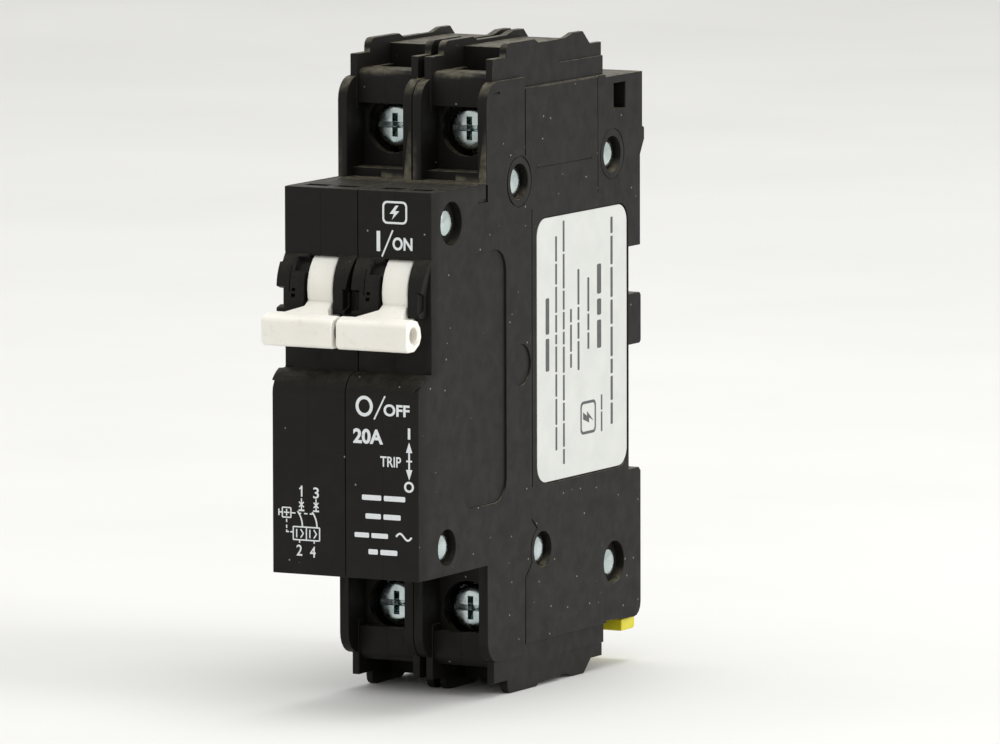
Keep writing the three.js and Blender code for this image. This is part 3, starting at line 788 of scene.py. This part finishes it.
def print_rating_marks():
    """O and OFF, the current rating, the trip arrow and bars in place of the wording."""
    lower = Print(0)
    z = NOSE_BOTTOM
    lower.ring(3.35, z + 26.45, 1.5, 0.98, 1.06)
    lower.line([(5.05, z + 24.5), (6.95, z + 28.15)], 0.26)
    lower.word("OFF", 6.7, 11.2, z + 25.1, z + 26.95)
    lower.word("20A", 1.4, 6.6, z + 20.7, z + 23.0, 0.035)
    lower.line([(11.1, z + 21.75), (11.1, z + 23.45)], 0.42)
    lower.line([(11.1, z + 16.9), (11.1, z + 19.9)], 0.3)
    lower.shape([(10.55, z + 19.7), (11.65, z + 19.7), (11.1, z + 21.3)])
    lower.shape([(10.55, z + 17.1), (11.1, z + 15.5), (11.65, z + 17.1)])
    lower.line([(10.6, z + 18.4), (11.6, z + 18.4)], 0.26)
    lower.word("TRIP", 6.1, 9.7, z + 17.35, z + 18.95, 0.015)
    lower.ring(11.06, z + 14.45, 0.85, 0.5)
    lower.small_print([
        (z + 12.5, 2.9, 10.4, 0.8, 2),
        (z + 9.65, 3.5, 9.6, 0.8, 2),
        (z + 6.7, 1.6, 7.4, 0.75, 2),
        (z + 4.2, 4.0, 9.0, 0.8, 2),
    ])
    wave = [(8.8 + 0.15 * i, z + 6.75 + 0.5 * math.sin(math.tau * i / 18)) for i in range(19)]
    lower.line(wave, 0.3)
    print_schematic(lower, z)
    lower.finish("lower_nose_print")


def print_schematic(sheet, z):
    """The wiring symbol of a two pole breaker, with its terminal numbers."""
    thin = 0.2
    sheet.line([(-7.6, z + 11.95), (-7.6, z + 13.65)], 0.26)
    sheet.line([(-7.6, z + 13.5), (-8.0, z + 13.1)], 0.22)
    for number, x, height in (("3", -5.1, 12.65), ("2", -8.05, 3.7), ("4", -5.7, 3.55)):
        sheet.word(number, x - 0.5, x + 0.5, z + height - 0.85, z + height + 0.85, 0.01)
    for x in (-7.65, -5.1):
        sheet.line([(x, z + 11.7), (x, z + 9.9)], thin)
        for way in (1, -1):
            sheet.line([(x - 0.42, z + 10.75 - 0.4 * way), (x + 0.42, z + 10.75 + 0.4 * way)], thin)
        sheet.line([(x - 0.5, z + 9.85), (x + 0.5, z + 9.85)], 0.26)
        blade = arc((x - 3.4, z + 7.4), 3.55, 40, -2, 6)
        sheet.line(blade, 0.24)
        sheet.line([(x - 0.35, z + 5.25), (x - 0.35, z + 4.85)], thin)
    sheet.line([(-11.6, z + 9.4), (-11.0, z + 9.4)], thin)
    sheet.line([(-11.6, z + 8.9), (-11.6, z + 9.9)], thin)
    box = [(-11.0, 8.65), (-9.5, 8.65), (-9.5, 10.15), (-11.0, 10.15), (-11.0, 8.65)]
    sheet.strokes(zip(box, box[1:]), z, thin)
    sheet.line([(-10.75, z + 9.4), (-9.75, z + 9.4)], thin)
    sheet.line([(-10.25, z + 8.9), (-10.25, z + 9.9)], thin)
    for start, end in ((-9.4, -8.7), (-8.2, -7.7), (-7.2, -6.6), (-6.2, -5.7)):
        sheet.line([(start, z + 9.38), (end, z + 9.38)], thin)
    for start, end in ((8.4, 7.9), (7.5, 7.0)):
        sheet.line([(-10.25, z + start), (-10.25, z + end)], thin)
    sheet.line([(-10.25, z + 6.75), (-10.25, z + 6.45), (-9.85, z + 6.45)], thin)
    sheet.line([(-9.6, z + 6.45), (-9.15, z + 6.45)], thin)
    left, middle, right, low, high = -9.1, -6.8, -4.5, 5.3, 7.3
    rails = [((left, level), (right, level)) for level in (low, high)]
    posts = [((x, low), (x, high)) for x in (left, middle, right)]
    sheet.strokes(rails + posts, z, thin)
    for x in (left, middle):
        sheet.line([(x + 0.6, z + low + 0.35), (x + 0.6, z + high - 0.35)], thin)
        sheet.line([(x + 1.3, z + high - 0.35), (x + 1.75, z + 6.3), (x + 1.3, z + low + 0.35)], thin)


# ------------------------------------------------------------------ handles
def build_handles():
    """Lever mouldings with soft edges, and the steel pin that ties the two together."""
    for pole in POLES:
        node = f"handle_{pole}"
        handle = copy_of(node, f"lever_moulding_{pole}")
        soften(handle, 0.28, 3, angle=24)
        finish_piece(handle, "handles", (HANDLE,), (node,))
    node = "handle_tie_pin"
    low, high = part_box(node)
    reach = (high.x - low.x) / 2 / MM
    radius = (high.z - low.z) / 2 / MM
    profile = [(TIP, -reach), (radius - 0.25, -reach), (radius, -reach + 0.3)]
    profile += [(radius, reach - 0.3), (radius - 0.25, reach), (TIP, reach)]
    pin = turned(profile, middle_of(node), (1, 0, 0), "tie_pin", 32)
    smooth(pin, 30)
    finish_piece(pin, "handles", (STEEL,), (node,))


# ------------------------------------------------------------------ terminal screws and clamps
THREAD_PITCH = 0.7
THREAD_DEPTH = 0.42
SHANK_RADIUS = 1.93
STEPS_PER_TURN = 8


def threaded(centre, start, end):
    """A shank along +Y with a real helical thread, from start to end past the centre."""
    turns = (end - start) / THREAD_PITCH
    steps, around = max(int(turns * STEPS_PER_TURN), STEPS_PER_TURN), 32
    rings = []
    for k in range(steps + 1):
        y = start + (end - start) * k / steps
        last_turn = min(1, (steps - k) / STEPS_PER_TURN)
        fade = min(last_turn, k / 4)
        ring = []
        for i in range(around):
            phase = (y / THREAD_PITCH - i / around) % 1
            ridge = 1 - abs(2 * phase - 1)
            here = SHANK_RADIUS - THREAD_DEPTH * (1 - ridge) * fade - 0.3 * (1 - last_turn)
            angle = math.tau * i / around
            ring.append(centre + Vector((here * math.cos(angle), y, here * math.sin(angle))) * MM)
        rings.append(ring)
    return object_from(loft(rings), "shank")


def bar_outline(reach, half):
    return [(-reach, -half), (reach, -half), (reach, half), (-reach, half)]


def cross_arm(turned_over):
    """One arm of a cross recess: long and wide at the top, narrowing as it goes down."""
    rings = []
    for depth, reach, half in ((-0.2, 1.95, 0.5), (0.9, 1.3, 0.42), (1.9, 0.35, 0.2)):
        corners = bar_outline(reach, half)
        if turned_over:
            corners = [(z, -x) for x, z in corners]
        rings.append([place(x, depth, z) for x, z in corners])
    return object_from(loft(rings), "tool")


def build_screw(node):
    """A combination head screw: a slot and a cross in a low domed head."""
    low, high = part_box(node)
    centre = Vector(((low.x + high.x) / 2, low.y, (low.z + high.z) / 2))
    radius = (high.z - low.z) / 2 / MM
    length = (high.y - low.y) / MM
    head = 2.2
    dome = [(TIP, 0), (radius - 1.3, 0), (radius - 0.5, 0.12), (radius, 0.55), (radius, 1.1)]
    profile = curve_profile(dome)
    profile += [(radius, head - 0.12), (radius - 0.12, head), (1.9, head)]
    top = turned(profile, centre, (0, 1, 0), f"head_{node}", 48)
    slot_tool = plate(bar_outline(radius + 1, 0.42), -1, 1.15)
    arms = [cross_arm(turned_over) for turned_over in (False, True)]
    for tool in (slot_tool, *arms):
        tool.data.transform(Matrix.Translation(centre - place(0, 0, 0)))
    combine(top, "DIFFERENCE", [slot_tool, *arms])
    clean(top)
    smooth(top, 35)
    shank = threaded(centre, head - 0.2, length)
    smooth(shank, 60)
    screw = joined_smooth([top, shank], f"combination_{node}")
    finish_piece(screw, node, (ZINC,), (node,))


def joined_smooth(objects, name):
    """One object out of several that keeps their shading."""
    bpy.ops.object.select_all(action="DESELECT")
    for item in objects:
        item.select_set(True)
    bpy.context.view_layer.objects.active = objects[0]
    bpy.ops.object.join()
    whole = bpy.context.view_layer.objects.active
    whole.name = name
    return whole


def build_clamp(node):
    clamp = copy_of(node, f"pressed_{node}")
    soften(clamp, 0.18, 2, angle=40)
    finish_piece(clamp, node, (ZINC,), (node,))


def build_terminals():
    for pole in POLES:
        for end in ("line", "load"):
            build_screw(f"{end}_screw_{pole}")
            build_clamp(f"{end}_clamp_{pole}")
            node = f"{end}_terminal_{pole}"
            strip = copy_of(node, f"punched_{node}")
            soften(strip, 0.12, 2, angle=30)
            finish_piece(strip, "case", (BRASS,), (node,))


# ------------------------------------------------------------------ springs, coils and braid
def wire(points, radius, name, around=10):
    """A round wire along a line of points, as one closed mesh."""
    rings = []
    side = None
    for i, point in enumerate(points):
        along = (points[min(i + 1, len(points) - 1)] - points[max(i - 1, 0)]).normalized()
        side = along.orthogonal() if side is None else side - along * side.dot(along)
        side.normalize()
        across = along.cross(side)
        ring = []
        for k in range(around):
            angle = math.tau * k / around
            ring.append(point + (side * math.cos(angle) + across * math.sin(angle)) * radius * MM)
        rings.append(ring)
    made = object_from(loft(rings), name)
    smooth(made, 60)
    return made


def helix(centre, axis, radius, length, turns, steps=16):
    """Points of a coil round an axis through the centre, in metres."""
    along = Vector(axis).normalized()
    side = along.orthogonal().normalized()
    across = along.cross(side)
    points = []
    count = int(turns * steps)
    for i in range(count + 1):
        angle = math.tau * i / steps
        way = side * math.cos(angle) + across * math.sin(angle)
        points.append(centre + (way * radius + along * (length * (i / count - 0.5))) * MM)
    return points


ACROSS = (1, 0, 0)
UPRIGHT = (0, 0, 1)


def build_coil(node, pole, axis, material, turns, wire_radius, name):
    """A helical spring or winding that fills the space of its plain node."""
    node = f"{node}_{pole}"
    low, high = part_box(node)
    size = (high - low) / MM
    index = max(range(3), key=lambda i: abs(axis[i]))
    others = [size[i] for i in range(3) if i != index]
    radius = min(others) / 2 - wire_radius
    points = helix(middle_of(node), axis, radius, size[index] - 2 * wire_radius, turns)
    piece = wire(points, wire_radius, f"{name}_{pole}")
    finish_piece(piece, "case", (material,), (node,))


def build_braid(node, name):
    """Four strands twisted round the line of the plain braid."""
    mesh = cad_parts[node].data
    low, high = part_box(node)
    steps, strand_radius = 26, 0.3
    slices = [[] for _ in range(steps)]
    span = high.z - low.z
    for vertex in mesh.vertices:
        slices[min(int((vertex.co.z - low.z) / span * steps), steps - 1)].append(vertex.co)
    centres = [sum(group, Vector()) / len(group) for group in slices if group]
    strands = []
    for number in range(4):
        points = []
        for i, centre in enumerate(centres):
            angle = math.tau * (i / 7 + number / 4)
            way = Vector((math.cos(angle), math.sin(angle), 0))
            points.append(centre + way * strand_radius * MM)
        strands.append(wire(points, strand_radius, "strand", 8))
    braid = joined_smooth(strands, name)
    finish_piece(braid, "case", (COPPER,), (node,))


def build_moving_metal():
    for pole in POLES:
        build_coil("handle_spring", pole, ACROSS, STEEL, 3, 0.2, "torsion_spring")
        build_coil("contact_spring", pole, ACROSS, STEEL, 4.5, 0.24, "coiled_contact_spring")
        build_coil("armature_spring", pole, UPRIGHT, STEEL, 11, 0.17, "coiled_armature_spring")
        build_coil("trip_coil", pole, UPRIGHT, ENAMEL, 9.5, 0.82, "wound_coil")
        build_braid(f"flexible_braid_{pole}", f"twisted_braid_{pole}")


def soften_node(node, body, material, name, width=0.12):
    """A finer copy of a CAD piece, with its edges rounded."""
    piece = copy_of(node, name)
    soften(piece, width, 2, angle=28)
    finish_piece(piece, body, (material,), (node,))


def build_mechanism():
    soften_node("trip_bar", "trip_bar", TRIP, "moulded_trip_bar")
    for pole in POLES:
        for node, body, slot_name, material in (
            ("contact_arm", f"contact_arm_{pole}", "copper", COPPER),
            ("toggle_link", f"toggle_link_{pole}", "steel", STEEL),
            ("armature", f"armature_{pole}", "steel", STEEL),
            ("rail_latch", f"rail_latch_{pole}", "latch_plastic", LATCH),
            ("magnet_yoke", "case", "steel", STEEL),
            ("arc_chute", "case", "steel", STEEL),
            ("delay_tube", "case", "brass", BRASS),
            ("handle_pivot_pin", "case", "steel", STEEL),
            ("arm_pivot_pin", "case", "steel", STEEL),
        ):
            width = 0.25 if node == "rail_latch" else 0.1
            soften_node(f"{node}_{pole}", body, material, f"finished_{node}_{pole}", width)


build_rivets()
build_label()
print_switch_marks()
print_rating_marks()
build_handles()
build_terminals()
build_moving_metal()
build_mechanism()


# ------------------------------------------------------------------ camera, floor and light
CAMERA_AZIMUTH = 28.21
CAMERA_ELEVATION = 6.52
CAMERA_ROLL = -0.13
CAMERA_DISTANCE = 1720
CAMERA_OFFSET = (-23.61, 6.27)
AIM_HEIGHT = 37.8 + NOSE_BOTTOM
SENSOR_WIDTH = 36
LENS = 407.4


def add_camera():
    """A long lens from the front right, a little above."""
    azimuth, elevation = math.radians(CAMERA_AZIMUTH), math.radians(CAMERA_ELEVATION)
    roll = math.radians(CAMERA_ROLL)
    back = Vector((
        math.sin(azimuth) * math.cos(elevation),
        -math.cos(azimuth) * math.cos(elevation),
        math.sin(elevation),
    ))
    level = Vector((math.cos(azimuth), math.sin(azimuth), 0))
    upright = back.cross(level)
    right = level * math.cos(roll) + upright * math.sin(roll)
    up = upright * math.cos(roll) - level * math.sin(roll)
    spot = back * CAMERA_DISTANCE - right * CAMERA_OFFSET[0] - up * CAMERA_OFFSET[1]
    data = bpy.data.cameras.new("camera")
    data.sensor_width = SENSOR_WIDTH
    data.lens = LENS
    data.clip_end = 100
    camera = bpy.data.objects.new("camera", data)
    turn = Matrix((right, up, back)).transposed().to_4x4()
    camera.matrix_world = Matrix.Translation(place(spot.x, spot.y, spot.z + AIM_HEIGHT)) @ turn
    bpy.context.scene.collection.objects.link(camera)
    bpy.context.scene.camera = camera


def add_floor():
    look = Look("floor_paper", 0.7)
    patches = look.range(look.noise(9, 4), 0.3, 0.7)
    look.colour(look.mix(patches, (0.74, 0.74, 0.725), (0.78, 0.78, 0.765)))
    look.relief(look.noise(1200, 3), 0.02, 0.3)
    bm = bmesh.new()
    bmesh.ops.create_circle(bm, cap_ends=True, segments=96, radius=12)
    floor = object_from(bm, "floor")
    floor.data.materials.append(look.material)


def add_light(name, spot, target, size, power):
    data = bpy.data.lights.new(name, "AREA")
    data.shape = "RECTANGLE"
    data.size, data.size_y = size
    data.energy = power
    light = bpy.data.objects.new(name, data)
    light.location = spot
    light.rotation_euler = (Vector(target) - Vector(spot)).to_track_quat("-Z", "Y").to_euler()
    bpy.context.scene.collection.objects.link(light)


def add_studio():
    world = bpy.data.worlds.new("studio")
    world.use_nodes = True
    world.node_tree.nodes["Background"].inputs["Color"].default_value = (1.0, 0.995, 0.98, 1)
    world.node_tree.nodes["Background"].inputs["Strength"].default_value = 0.82
    bpy.context.scene.world = world
    add_light("overhead", (0.1, 0.2, 1.4), (0, 0, 0.03), (0.8, 0.8), 8)
    add_light("right_side", (1.2, 0.05, 0.6), (0, 0, 0.05), (0.6, 0.6), 6.5)
    bpy.context.scene.view_settings.view_transform = "Standard"


add_camera()
add_floor()
add_studio()
